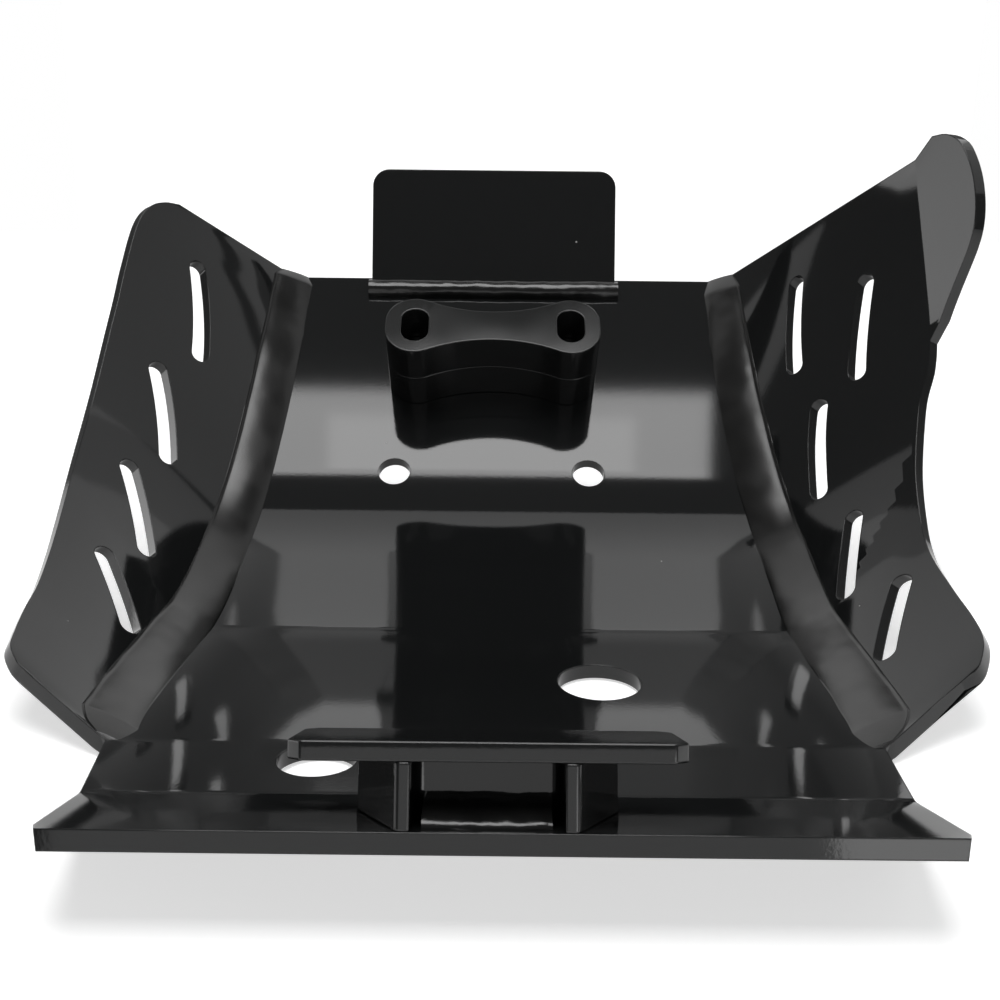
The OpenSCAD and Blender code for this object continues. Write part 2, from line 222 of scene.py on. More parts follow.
def finish_mesh(name: str, bm: bmesh.types.BMesh, outward: bool = True) -> bpy.types.Object:
    """Moves a shape in floor millimetres to the part's frame and makes an object of it.

    Args:
        name: Name of the object.
        bm: The shape, in millimetres on the floor of the pan. It is freed.
        outward: Whether the faces are turned to the outside first.

    Returns:
        The new object.
    """
    if outward:
        bmesh.ops.recalc_face_normals(bm, faces=bm.faces)
    for vert in bm.verts:
        vert.co = (vert.co - DATUM) * MM
    mesh = bpy.data.meshes.new(name)
    bm.to_mesh(mesh)
    bm.free()
    return link(name, mesh)


def loft(name: str, rings: Sequence[Sequence[Vector]], mirror: bool = False) -> bpy.types.Object:
    """Joins closed rings of points into one solid.

    Args:
        name: Name of the object.
        rings: Rings of equally many points, in floor millimetres.
        mirror: Whether the shape is mirrored to the left side.

    Returns:
        The new object.
    """
    bm = bmesh.new()
    rows = [[bm.verts.new(p) for p in ring] for ring in rings]
    count = len(rows[0])
    for a, b in zip(rows, rows[1:]):
        for k in range(count):
            n = (k + 1) % count
            bm.faces.new((a[k], a[n], b[n], b[k]))
    caps = [bm.faces.new(rows[0]), bm.faces.new(rows[-1])]
    bmesh.ops.triangulate(bm, faces=caps)
    if mirror:
        bmesh.ops.scale(bm, vec=(-1, 1, 1), verts=bm.verts)
    return finish_mesh(name, bm)


def prism(name: str, outline: Sequence[Vector], low: float, high: float, place: Matrix,
          face: Face = Face.CUT) -> bpy.types.Object:
    """Extrudes a flat outline and sets it in place.

    Args:
        name: Name of the object.
        outline: Points of the outline in its own plane, in millimetres.
        low: Height of its lower end.
        high: Height of its upper end.
        place: Turns and moves the shape to floor millimetres.
        face: Material slot that all its faces take.

    Returns:
        The new object.
    """
    bm = bmesh.new()
    ends = [[bm.verts.new(place @ Vector((p[0], p[1], z))) for p in outline] for z in (low, high)]
    count = len(outline)
    for k in range(count):
        n = (k + 1) % count
        bm.faces.new((ends[0][k], ends[0][n], ends[1][n], ends[1][k]))
    for end in ends:
        bm.faces.new(end)
    for each in bm.faces:
        each.material_index = face.value
    return finish_mesh(name, bm)


def circle(radius: float, middle: tuple[float, float] = (0.0, 0.0), count: int = 96) -> list[Vector]:
    """Returns the points of a circle about a middle."""
    turns = [2 * math.pi * k / count for k in range(count)]
    return [Vector((middle[0] + radius * math.cos(t), middle[1] + radius * math.sin(t))) for t in turns]


def carve(piece: bpy.types.Object, cutter: bpy.types.Object, operation: str = "DIFFERENCE") -> None:
    """Cuts a piece with another shape, which is used up.

    Args:
        piece: The piece that is cut.
        cutter: The shape that cuts it.
        operation: Name of the boolean operation.
    """
    for each in (piece, cutter):
        while len(each.data.materials) < len(Face):
            each.data.materials.append(None)
    modifier = piece.modifiers.new("carve", "BOOLEAN")
    modifier.operation, modifier.solver, modifier.object = operation, "EXACT", cutter
    seen = piece.evaluated_get(bpy.context.evaluated_depsgraph_get())
    mesh = bpy.data.meshes.new_from_object(seen)
    piece.modifiers.clear()
    piece.data = mesh
    bpy.data.objects.remove(cutter)


def shade(piece: bpy.types.Object, limit: float = 35.0, like: bpy.types.Object | None = None) -> None:
    """Gives each corner of a mesh a normal, so that curves are smooth and edges stay crisp.

    Args:
        piece: The piece to shade.
        limit: Largest angle between faces that are smoothed together, in degrees.
        like: The same piece before it was cut, whose smooth normals are taken where they fit.
    """
    mesh = piece.data
    for poly in mesh.polygons:
        poly.use_smooth = True
    smooth = corner_normals(piece, limit)
    tree, soft = None, []
    if like is not None:
        tree = BVHTree.FromPolygons([v.co for v in like.data.vertices],
                                    [tuple(p.vertices) for p in like.data.polygons])
        soft = [Vector(p.normal) for p in like.data.polygons]
        shared = corner_normals(like, 8.0)
    split: list[Vector] = [Vector((0, 0, 1))] * len(mesh.loops)
    for poly in mesh.polygons:
        own = Vector(poly.normal)
        for k in poly.loop_indices:
            v = mesh.loops[k].vertex_index
            split[k] = smooth[(poly.index, v)]
            if tree is not None:
                spot, _, index, _ = tree.find_nearest(mesh.vertices[v].co + own * 1e-6)
                if index is not None and soft[index] @ own > 0.985:
                    split[k] = blend_corners(like.data, index, shared, spot)
    mesh.normals_split_custom_set(split)


def corner_normals(piece: bpy.types.Object, limit: float) -> dict[tuple[int, int], Vector]:
    """Works out smooth normals for the corners of a mesh.

    Args:
        piece: The piece.
        limit: Largest angle between faces that are smoothed together, in degrees.

    Returns:
        A normal for each pair of face and vertex.
    """
    mesh = piece.data
    least = math.cos(math.radians(limit))
    around: list[list[int]] = [[] for _ in mesh.vertices]
    for poly in mesh.polygons:
        for v in poly.vertices:
            around[v].append(poly.index)
    normals = [Vector(p.normal) for p in mesh.polygons]
    areas = [p.area for p in mesh.polygons]
    result = {}
    for poly in mesh.polygons:
        own = normals[poly.index]
        for v in poly.vertices:
            total = Vector()
            for other in around[v]:
                if normals[other] @ own >= least:
                    total += normals[other] * areas[other]
            result[(poly.index, v)] = total.normalized() if total.length else own
    return result


def blend_corners(mesh: bpy.types.Mesh, index: int, shared: dict[tuple[int, int], Vector],
                  spot: Vector) -> Vector:
    """Blends the corner normals of a face at a point of it.

    Args:
        mesh: Mesh of the uncut sheet.
        index: Index of the face.
        shared: Normals for each pair of face and vertex.
        spot: Point on the face.

    Returns:
        The blended normal.
    """
    total = Vector()
    for v in mesh.polygons[index].vertices:
        near = (mesh.vertices[v].co - spot).length
        if near < 1e-7:
            return shared[(index, v)]
        total += shared[(index, v)] / near
    return total.normalized()


def soften(piece: bpy.types.Object, width: float, segments: int = 2, limit: float = 35.0) -> None:
    """Rounds the sharp edges of a simple solid.

    Args:
        piece: The solid.
        width: Width of the rounding in millimetres.
        segments: Number of faces across it.
        limit: Edges sharper than this angle are rounded, in degrees.
    """
    bm = bmesh.new()
    bm.from_mesh(piece.data)
    bmesh.ops.remove_doubles(bm, verts=bm.verts, dist=2e-6)
    bmesh.ops.dissolve_limit(bm, angle_limit=math.radians(0.4), verts=bm.verts, edges=bm.edges)
    sharp = [e for e in bm.edges if len(e.link_faces) == 2
             and e.calc_face_angle(0.0) > math.radians(limit)]
    bmesh.ops.bevel(bm, geom=sharp, offset=width * MM, offset_type="OFFSET", segments=segments,
                    profile=0.5, affect="EDGES", clamp_overlap=False)
    bm.to_mesh(piece.data)
    bm.free()


def node_copy(node: str, name: str) -> bpy.types.Object:
    """Copies a node of the frame as the start of a piece.

    Args:
        node: Name of the node.
        name: Name of the piece.

    Returns:
        The new object.
    """
    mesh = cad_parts[node].data.copy()
    mesh.materials.clear()
    return link(name, mesh)


def settle(piece: bpy.types.Object, slot: str, materials: Sequence[bpy.types.Material],
           *nodes: str) -> None:
    """Dresses a finished piece and ties it to the frame.

    Args:
        piece: The piece.
        slot: Material slot of the record. It is not used.
        materials: Its materials in the order of their slots.
        nodes: Nodes that it stands for.
    """
    piece.data.materials.clear()
    for material in materials:
        piece.data.materials.append(material)
    if nodes:
        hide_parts(*nodes)
    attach(piece, BODY)
    faces = len(piece.data.polygons)
    log.info("%s: %d faces, in place of %s", piece.name, faces, ", ".join(nodes) or "nothing")


class NodeTree:
    """Short way to lay out the nodes of a material, group or world."""

    def __init__(self, tree: bpy.types.NodeTree) -> None:
        """Takes over a tree and empties it."""
        self.tree = tree
        tree.nodes.clear()

    def add(self, kind: str, **values: object) -> bpy.types.Node:
        """Adds a node.

        Args:
            kind: Type name of the node without its prefix.
            values: Properties, or inputs by their name with underscores for spaces.

        Returns:
            The node.
        """
        node = self.tree.nodes.new("ShaderNode" + kind)
        for key, value in values.items():
            if key in node.bl_rna.properties:
                setattr(node, key, value)
            else:
                node.inputs[key.replace("_", " ")].default_value = value
        return node

    def join(self, source: bpy.types.NodeSocket, target: bpy.types.NodeSocket) -> None:
        """Links an output to an input."""
        self.tree.links.new(source, target)

    def combine(self, operation: str, *values: bpy.types.NodeSocket | float) -> bpy.types.NodeSocket:
        """Adds a node that works out one value from others.

        Args:
            operation: Name of the operation.
            values: Outputs of other nodes, or plain numbers.

        Returns:
            The output of the node.
        """
        node = self.add("Math", operation=operation)
        for value, target in zip(values, node.inputs):
            if isinstance(value, float):
                target.default_value = value
            else:
                self.join(value, target)
        return node.outputs[0]

    def group(self, group: bpy.types.NodeTree, **values: float) -> bpy.types.Node:
        """Adds a node group, with values for its inputs as add() takes them, and returns it."""
        node = self.add("Group")
        node.node_tree = group
        for key, value in values.items():
            node.inputs[key.replace("_", " ")].default_value = value
        return node


class PlasticTree(NodeTree):
    """Nodes of a material with one plastic shader."""

    def __init__(self, name: str) -> None:
        """Starts the material under its name."""
        self.material = bpy.data.materials.new(name)
        self.material.use_nodes = True
        super().__init__(self.material.node_tree)
        self.shader = self.add("BsdfPrincipled", IOR=1.5)
        out = self.add("OutputMaterial")
        self.join(self.shader.outputs[0], out.inputs[0])

    def relief(self, height: bpy.types.NodeSocket, strength: float, distance: float,
               edge_mm: float = 0.0) -> None:
        """Gives the surface a relief and, where a width is given, rounded edges.

        Args:
            height: Height of the relief.
            strength: How much of it shows.
            distance: Its depth in metres.
            edge_mm: Width of the rounded edges in millimetres.
        """
        bump = self.add("Bump", Strength=strength, Distance=distance)
        self.join(height, bump.inputs["Height"])
        if edge_mm:
            round_edge = self.add("Bevel", samples=6, Radius=edge_mm * MM)
            self.join(round_edge.outputs[0], bump.inputs["Normal"])
        self.join(bump.outputs[0], self.shader.inputs["Normal"])

    def paint(self, mask: bpy.types.NodeSocket, first: Sequence[float], second: Sequence[float]) -> None:
        """Blends two colours by a mask."""
        colour = self.add("Mix", data_type="RGBA")
        colour.inputs[6].default_value = (*first, 1.0)
        colour.inputs[7].default_value = (*second, 1.0)
        self.join(mask, colour.inputs[0])
        self.join(colour.outputs[2], self.shader.inputs["Base Color"])

    def roughen(self, mask: bpy.types.NodeSocket, **span: float) -> None:
        """Sets the roughness by a mask, over the span that the map range node is given."""
        rough = self.add("MapRange", **span)
        self.join(mask, rough.inputs["Value"])
        self.join(rough.outputs[0], self.shader.inputs["Roughness"])


def open_group(name: str, inputs: dict[str, float], outputs: Sequence[str]
               ) -> tuple[NodeTree, bpy.types.Node, bpy.types.Node]:
    """Starts a shader node group whose inputs and outputs are plain numbers.

    Args:
        name: Name of the group.
        inputs: Names of the inputs with their usual values.
        outputs: Names of the outputs.

    Returns:
        The tree, its input node and its output node.
    """
    group = bpy.data.node_groups.new(name, "ShaderNodeTree")
    for key, value in inputs.items():
        socket = group.interface.new_socket(name=key, in_out="INPUT", socket_type="NodeSocketFloat")
        socket.default_value = value
    for key in outputs:
        group.interface.new_socket(name=key, in_out="OUTPUT", socket_type="NodeSocketFloat")
    tree = NodeTree(group)
    entry = group.nodes.new("NodeGroupInput")
    leave = group.nodes.new("NodeGroupOutput")
    return tree, entry, leave


class Effects:
    """Node groups that several finishes share, built once."""

    def __init__(self) -> None:
        """Builds the groups."""
        self.waves = self.build_waves()
        self.dust = self.build_dust()
        self.marks = self.build_marks()

    @staticmethod
    def build_waves() -> bpy.types.NodeTree:
        """Slow waviness of pressed sheet with a fine grain on top.

        Returns:
            The group. Its output is a height.
        """
        usual = {"Wave Size": 9.0, "Wave": 1.0, "Grain": 0.06}
        tree, entry, leave = open_group("Sheet waves", usual, ["Height"])
        place = tree.add("TexCoord")
        slow = tree.add("TexNoise", Detail=1.0)
        fine = tree.add("TexNoise", Scale=900.0, Detail=3.0)
        tree.join(place.outputs["Object"], slow.inputs["Vector"])
        tree.join(place.outputs["Object"], fine.inputs["Vector"])
        tree.join(entry.outputs["Wave Size"], slow.inputs["Scale"])
        tall = tree.combine("MULTIPLY", slow.outputs["Fac"], entry.outputs["Wave"])
        small = tree.combine("MULTIPLY", fine.outputs["Fac"], entry.outputs["Grain"])
        tree.join(tree.combine("ADD", tall, small), leave.inputs["Height"])
        return tree.tree

    @staticmethod
    def build_dust() -> bpy.types.NodeTree:
        """Sparse tiny specks of dust and lint.

        Returns:
            The group. Its output is a mask.
        """
        usual = {"Cells": 140.0, "Share": 0.03, "Speck": 0.075}
        tree, entry, leave = open_group("Dust specks", usual, ["Mask"])
        place = tree.add("TexCoord")
        cell = tree.add("TexVoronoi")
        tree.join(place.outputs["Object"], cell.inputs["Vector"])
        tree.join(entry.outputs["Cells"], cell.inputs["Scale"])
        part = tree.add("SeparateColor")
        tree.join(cell.outputs["Color"], part.inputs[0])
        few = tree.combine("LESS_THAN", part.outputs[0], entry.outputs["Share"])
        near = tree.combine("LESS_THAN", cell.outputs["Distance"], entry.outputs["Speck"])
        tree.join(tree.combine("MULTIPLY", few, near), leave.inputs["Mask"])
        return tree.tree

    @staticmethod
    def build_marks() -> bpy.types.NodeTree:
        """Slanted lines that a cutter leaves, uneven in depth, with blotches between them.

        Returns:
            The group. Its outputs are a height and a mask of the blotches.
        """
        usual = {"Line Size": 320.0, "Blotch Size": 60.0}
        tree, entry, leave = open_group("Cutter marks", usual, ["Height", "Blotch"])
        place = tree.add("TexCoord")
        turn = tree.add("Mapping")
        turn.inputs["Rotation"].default_value = (0.5, 0.7, 0.3)
        tree.join(place.outputs["Object"], turn.inputs["Vector"])
        lines = tree.add("TexWave", Distortion=3.0, Detail=2.0, Detail_Scale=1.5)
        tree.join(turn.outputs[0], lines.inputs["Vector"])
        tree.join(entry.outputs["Line Size"], lines.inputs["Scale"])
        blotch = tree.add("TexNoise", Detail=4.0)
        tree.join(place.outputs["Object"], blotch.inputs["Vector"])
        tree.join(entry.outputs["Blotch Size"], blotch.inputs["Scale"])
        deep = tree.combine("MULTIPLY", lines.outputs["Fac"], blotch.outputs["Fac"])
        tree.join(deep, leave.inputs["Height"])
        tree.join(blotch.outputs["Fac"], leave.inputs["Blotch"])
        return tree.tree


@dataclass(frozen=True)
class GlossySheet:
    """Pressed black sheet with a mirror-like face, a few specks of dust and softened edges."""

    name: str = "glossy_sheet"
    colour: tuple[float, float, float] = (0.0085, 0.0090, 0.0092)
    roughness: float = 0.06
    edge_mm: float = 0.7
    wave: float = 0.12
    dust: float = 0.008

    def build(self, effects: Effects) -> bpy.types.Material:
        """Builds the material.

        Args:
            effects: The shared groups.

        Returns:
            The material.
        """
        tree = PlasticTree(self.name)
        waves = tree.group(effects.waves, Wave=self.wave)
        tree.relief(waves.outputs["Height"], 0.12, 0.001, self.edge_mm)
        dust = tree.group(effects.dust, Share=self.dust)
        tree.paint(dust.outputs["Mask"], self.colour, (0.45, 0.45, 0.44))
        tree.roughen(dust.outputs["Mask"], To_Min=self.roughness, To_Max=0.6)
        return tree.material


@dataclass(frozen=True)
class MatteCut:
    """Plastic as the cutter leaves it: matte, grey-brown, with faint lines."""

    name: str
    colour: tuple[float, float, float]
    blotch_colour: tuple[float, float, float]
    roughness: float = 0.5
    depth: float = 0.25
    line_size: float = 320.0
    edge_mm: float = 0.5

    def build(self, effects: Effects) -> bpy.types.Material:
        """Builds the material.

        Args:
            effects: The shared groups.

        Returns:
            The material.
        """
        tree = PlasticTree(self.name)
        marks = tree.group(effects.marks, Line_Size=self.line_size)
        tree.relief(marks.outputs["Height"], self.depth, 0.0005, self.edge_mm)
        part = tree.add("MapRange", From_Min=0.42, From_Max=0.66)
        tree.join(marks.outputs["Blotch"], part.inputs["Value"])
        tree.paint(part.outputs[0], self.colour, self.blotch_colour)
        tree.roughen(marks.outputs["Blotch"], To_Min=self.roughness, To_Max=self.roughness + 0.12)
        return tree.material


@dataclass(frozen=True)
class SatinPlastic:
    """Plastic that was melted or milled: satin, slightly uneven."""

    name: str
    colour: tuple[float, float, float]
    pale: tuple[float, float, float]
    roughness: float = 0.3
    bump: float = 0.2
    wave_size: float = 90.0

    def build(self, effects: Effects) -> bpy.types.Material:
        """Builds the material.

        Args:
            effects: The shared groups.

        Returns:
            The material.
        """
        tree = PlasticTree(self.name)
        waves = tree.group(effects.waves, Wave_Size=self.wave_size, Grain=0.12)
        tree.relief(waves.outputs["Height"], self.bump, 0.001)
        part = tree.add("MapRange", From_Min=0.5, From_Max=1.0)
        tree.join(waves.outputs["Height"], part.inputs["Value"])
        tree.paint(part.outputs[0], self.colour, self.pale)
        tree.roughen(waves.outputs["Height"], From_Min=0.3, From_Max=0.9, To_Min=self.roughness,
                     To_Max=self.roughness + 0.1)
        return tree.material


class Finishes:
    """All materials of the plate, built once."""

    def __init__(self) -> None:
        """Builds the shared groups and the materials."""
        effects = Effects()
        self.gloss = GlossySheet().build(effects)
        self.cut = MatteCut("cut_edge", (0.040, 0.039, 0.036), (0.050, 0.0485, 0.0445)).build(effects)
        self.slot = MatteCut("slot_wall", (0.10, 0.10, 0.096), (0.16, 0.16, 0.155), roughness=0.4,
                             depth=0.6, line_size=260.0).build(effects)
        # The left wing's slot walls are the same black plastic as the right's. Their pale grey is painted
        # light, standing in for the studio light that they mirror. The cutter marks on them are real.
        self.painted_light_slot_finish = MatteCut("slot_wall_painted_light", (0.48, 0.48, 0.475), (0.80, 0.80, 0.79),
                                  roughness=0.45, depth=0.9, line_size=240.0).build(effects)
        self.scuffed = MatteCut("scuffed_edge", (0.046, 0.045, 0.041), (0.075, 0.073, 0.067),
                                roughness=0.42, depth=0.5, line_size=180.0).build(effects)
        self.weld = SatinPlastic("weld_bead", (0.008, 0.008, 0.0078), (0.013, 0.013, 0.0125), roughness=0.17,
                                 bump=0.08, wave_size=60.0).build(effects)
        self.block = SatinPlastic("milled_block", (0.010, 0.0105, 0.0105), (0.014, 0.0145, 0.0145),
                                  roughness=0.08, bump=0.04, wave_size=30.0).build(effects)

    @property
    def sheet(self) -> list[bpy.types.Material]:
        """Materials of a sheet in the order of its face slots."""
        return [self.gloss, self.cut, self.slot]


@dataclass(frozen=True)
class Wing:
    """One side wing: a sheet ruled from the pan's edge to a line on a large cylinder.

    The lumps of its weld bead are given by their height and by their detail, where more detail
    is finer. The place of the lip is an angle round the bead, in radians.
    """

    name: str
    node: str
    weld_node: str
    left: bool
    seat: tuple[float, float, float]
    turn: tuple[float, float, float]
    bend_r: float
    ribs: tuple[tuple[float, float, float, float], ...]
    vents: tuple[tuple[float, float, float, float], ...]
    fold_rib: int | None = None
    lobe_fold: float = 15.0
    lobe_line: tuple[tuple[float, float], ...] = ()
    lobe_turn: float = 10.0
    rib_steps: int = 3
    fine: int = 3
    parts: int = 14
    rim_start: float = 0.97
    vent_w: float = 10.0
    vent_len: float = 62.0
    vent_r: float = 190.0
    bead_pan_leg: float = 11.0
    bead_wing_leg: float = 15.0
    vent_low: float = -40.0
    vent_high: float = 80.0
    lobe_clear: float = 0.5
    bead_bulge: float = 1.5
    bead_taper: float = 8.0
    lump: float = 0.55
    lump_detail: float = 0.035
    small_lump: float = 0.14
    small_lump_detail: float = 0.12
    lip: float = 0.6
    lip_at: float = 1.42
    lip_width: float = 0.05
    lip_detail: float = 0.06

    @property
    def axes(self) -> tuple[Vector, Vector, Vector]:
        """Axes of the wing's own frame."""
        turn = Euler([math.radians(a) for a in self.turn], "XYZ").to_matrix()
        return turn.col[0], turn.col[1], turn.col[2]

    @property
    def rows(self) -> list[Vector]:
        """Fine rows of the wing, from its rear corner to its front."""
        return smooth_line(self.ribs, self.rib_steps * self.fine)

    def foot(self, row: Vector) -> Vector:
        """Foot of a rib on the upper face of the pan."""
        return Vector((row[3], row[2], PAN.height(row[2])))

    def end(self, row: Sequence[float]) -> Vector:
        """Outer end of a rib, on the cylinder."""
        ex, ey, ez = self.axes
        return (Vector(self.seat) + row[0] * ex + row[1] * ey
                + (self.bend_r - math.sqrt(self.bend_r ** 2 - row[1] ** 2)) * ez)

    def outward(self, point: Vector) -> Vector:
        """Direction from a point of the sheet to its outer side."""
        _, ey, ez = self.axes
        local = point - Vector(self.seat)
        y, z = local @ ey, local @ ez - self.bend_r
        return (y * ey + z * ez).normalized()

    def lobe_frame(self) -> tuple[Vector, Vector, Vector, Vector]:
        """Works out the flat lobe.

        Returns:
            The start of its fold, the direction along it, the one out along the lobe, and its
            outer side.
        """
        start, stop = self.end(self.ribs[self.fold_rib]), self.end(self.ribs[-1])
        along = (stop - start).normalized()
        rib = (start + stop) / 2 - self.foot(Vector(self.ribs[-3]))
        down = (rib - (rib @ along) * along).normalized()
        fold = math.radians(self.lobe_fold)
        out = math.cos(fold) * down + math.sin(fold) * down.cross(along)
        return start, along, out, along.cross(out)

    def ring(self, index: float, row: Vector) -> list[Vector]:
        """Section of the sheet at a rib.

        Args:
            index: Number of the rib, counted in the steps of the source.
            row: The rib.

        Returns:
            Points from the foot up the inner face, over the rim and down the outer face.
        """
        sheet = PAN.sheet
        fold_row = None if self.fold_rib is None else self.fold_rib * self.rib_steps
        in_lobe = fold_row is not None and index >= fold_row
        slope = math.radians(PAN.slope(row[2]))
        foot, end = self.foot(row), self.end(row)
        reach = 1.0 if in_lobe else self.rim_start
        inner = [foot.lerp(end, reach * k / self.parts) for k in range(self.parts + 1)]
        bend = self.outward(inner[-1])
        if in_lobe:
            start, along, out, rim_out = self.lobe_frame()
            spot = smooth_line(self.lobe_line, self.fine)[round((index - fold_row) * self.fine)]
            rim = start + spot[0] * along + spot[1] * out
        else:
            rim, rim_out = end, self.outward(end)
        n = self.outward(foot)
        below = Vector((0.0, math.sin(slope), -math.cos(slope)))
        outer = [p + sheet * self.outward(p) for p in reversed(inner[1:-1])]
        return (inner + [rim, rim + sheet * rim_out,
                         inner[-1] + sheet * (bend + rim_out) / (1 + bend @ rim_out)] + outer
                + [foot + sheet * (n + below) / (1 + n @ below),
                   foot - Vector((0.0, 0.0, sheet / math.cos(slope)))])

    def rings(self) -> list[list[Vector]]:
        """Returns the sections of the whole sheet. The step before the lobe is ruled."""
        rows = self.rows
        rings = [self.ring(i / self.fine, row) for i, row in enumerate(rows)]
        if self.fold_rib is not None:
            stop = self.fold_rib * self.rib_steps * self.fine
            start = stop - self.fine
            for i in range(start + 1, stop):
                t = (i - start) / self.fine
                rings[i] = [a.lerp(b, t) for a, b in zip(rings[start], rings[stop])]
        return rings

    def vent_outline(self, length: float) -> list[Vector]:
        """Outline of a curved vent slot about its middle.

        Args:
            length: Length of the slot.

        Returns:
            The points of the outline.
        """
        half = (length - self.vent_w) / self.vent_r / 2
        middle, w, points = Vector((self.vent_r, 0.0)), self.vent_w / 2, []
        for k in range(25):
            a = -half + 2 * half * k / 24
            points.append(middle - (self.vent_r + w) * Vector((math.cos(a), math.sin(a))))
        tip = middle - self.vent_r * Vector((math.cos(half), math.sin(half)))
        points += [tip - w * Vector((math.cos(half + math.pi * k / 20), math.sin(half + math.pi * k / 20)))
                   for k in range(1, 20)]
        for k in range(25):
            a = half - 2 * half * k / 24
            points.append(middle - (self.vent_r - w) * Vector((math.cos(a), math.sin(a))))
        tip = middle - self.vent_r * Vector((math.cos(half), math.sin(-half)))
        points += [tip + w * Vector((math.cos(-half + math.pi * k / 20), math.sin(-half + math.pi * k / 20)))
                   for k in range(1, 20)]
        return points

    def cutter(self, vent: tuple[float, float, float, float]) -> bpy.types.Object:
        """Shape that cuts one vent slot."""
        x, y, turn, less = vent
        tilt = Euler([math.radians(a) for a in self.turn], "XYZ").to_matrix().to_4x4()
        place = (Matrix.Translation(self.seat) @ tilt
                 @ Matrix.Translation((x, y, 0.0)) @ Matrix.Rotation(math.radians(turn), 4, "Z"))
        if self.left:
            place = Matrix.Scale(-1, 4, (1, 0, 0)) @ place
        outline = self.vent_outline(self.vent_len - less)
        return prism("vent", outline, self.vent_low, self.vent_high, place, Face.SLOT)

    def shade_lobe(self, piece: bpy.types.Object) -> None:
        """Turns the normals of the lobe's inner face, which in the photo mirrors past the tab.

        Args:
            piece: The wing.
        """
        start, _, out, _ = self.lobe_frame()
        turn = Matrix.Rotation(math.radians(self.lobe_turn), 3, "Z")
        mesh = piece.data
        split = [Vector(n.vector) for n in mesh.corner_normals]
        for poly in mesh.polygons:
            on_lobe = (poly.center / MM + DATUM - start) @ out > self.lobe_clear
            if on_lobe and poly.material_index == Face.GLOSS.value and poly.normal.x < 0:
                for k in poly.loop_indices:
                    split[k] = turn @ split[k]
        mesh.normals_split_custom_set(split)

    def build_sheet(self, finishes: Finishes) -> bpy.types.Object:
        """Builds the sheet of the wing with its slots.

        Args:
            finishes: The materials.

        Returns:
            The piece.
        """
        rings = self.rings()
        whole = loft(self.name + "_uncut", rings, self.left)
        piece = link(self.name, whole.data.copy())
        count, inner = len(rings[0]), self.parts + 1
        rim = {inner, count - 1}
        for index, poly in enumerate(piece.data.polygons):
            side = index % count if index < (len(rings) - 1) * count else -1
            poly.material_index = (Face.CUT if side == -1 or side in rim else Face.GLOSS).value
        for vent in self.vents:
            carve(piece, self.cutter(vent))
        shade(piece, 12.0, whole)
        bpy.data.objects.remove(whole)
        if self.fold_rib is not None:
            self.shade_lobe(piece)
        # The left wing's slots take the pale copy of the wall finish, which is painted light.
        walls = finishes.painted_light_slot_finish if self.left else finishes.slot
        settle(piece, "sheet_plastic", [finishes.gloss, finishes.cut, walls], self.node)
        return piece

    def bead_ring(self, i: int, row: Vector, total: int) -> list[Vector]:
        """Section of the weld bead at a rib, with its lumps.

        Args:
            i: Number of the fine row.
            row: The rib.
            total: Number of fine rows.

        Returns:
            The corner under the bead, then the points over it from the pan to the wing.
        """
        q = self.foot(row)
        up = (self.end(row) - q).normalized()
        at, last = i / self.fine, (total - 1) / self.fine
        size = math.sqrt(min(1.0, (at + 1) / self.bead_taper, (last - at + 2) / self.bead_taper * 2))
        points, steps = [q], 22
        for k in range(steps + 1):
            a = math.pi / 2 * k / steps
            x, y = math.cos(a) ** self.bead_bulge, math.sin(a) ** self.bead_bulge
            point = q - Vector((size * self.bead_pan_leg * x, 0.0, 0.0)) + size * self.bead_wing_leg * y * up
            lump = noise.noise(point * self.lump_detail) * self.lump
            lump += noise.noise(point * self.small_lump_detail + Vector((9, 0, 0))) * self.small_lump
            lip = self.lip * math.exp(-((a - self.lip_at) / self.lip_width) ** 2)
            lip *= 0.8 + 0.5 * noise.noise(point * self.lip_detail)
            inside = (up - Vector((1.0, 0.0, 0.0))).normalized()
            points.append(point + inside * (lump * (1.0 if 0 < k < steps else 0.3) * size + lip))
        return points

    def build_weld(self, finishes: Finishes) -> bpy.types.Object:
        """Builds the weld bead between the pan and the wing.

        Args:
            finishes: The materials.

        Returns:
            The piece.
        """
        rows = self.rows
        rings = [self.bead_ring(i, row, len(rows)) for i, row in enumerate(rows)]
        piece = loft(self.name + "_bead", rings, self.left)
        shade(piece, 40.0)
        settle(piece, "weld_plastic", [finishes.weld], self.weld_node)
        return piece


LEFT_WING = Wing(
    "left_side_wing", "left_wing", "left_wing_weld", True, (170.8, 149.2, 79.5), (53.0, -20.0, -44.0), 325.0,
    ((100, -160, -54, 138), (102, -155, -51, 139), (102, -147, -47, 139.5), (98, -139, -42, 140),
     (91, -127, -32, 140.5), (81, -111, -14, 140.5), (68, -83, 18, 139), (53, -43, 60, 136.5),
     (37, 6, 112, 133.5), (25, 55, 165, 127), (20, 82, 205, 123.5), (15, 107, 235, 122),
     (9, 118, 252, 121.5), (1, 123, 263, 121), (-8, 125, PAN.front_edge.x, 121)),
    ((-22.7, 64.7, 0, 0), (1, -1.2, -2, 2), (22.6, -61, -1, 6), (45.9, -112, -2, 14)))

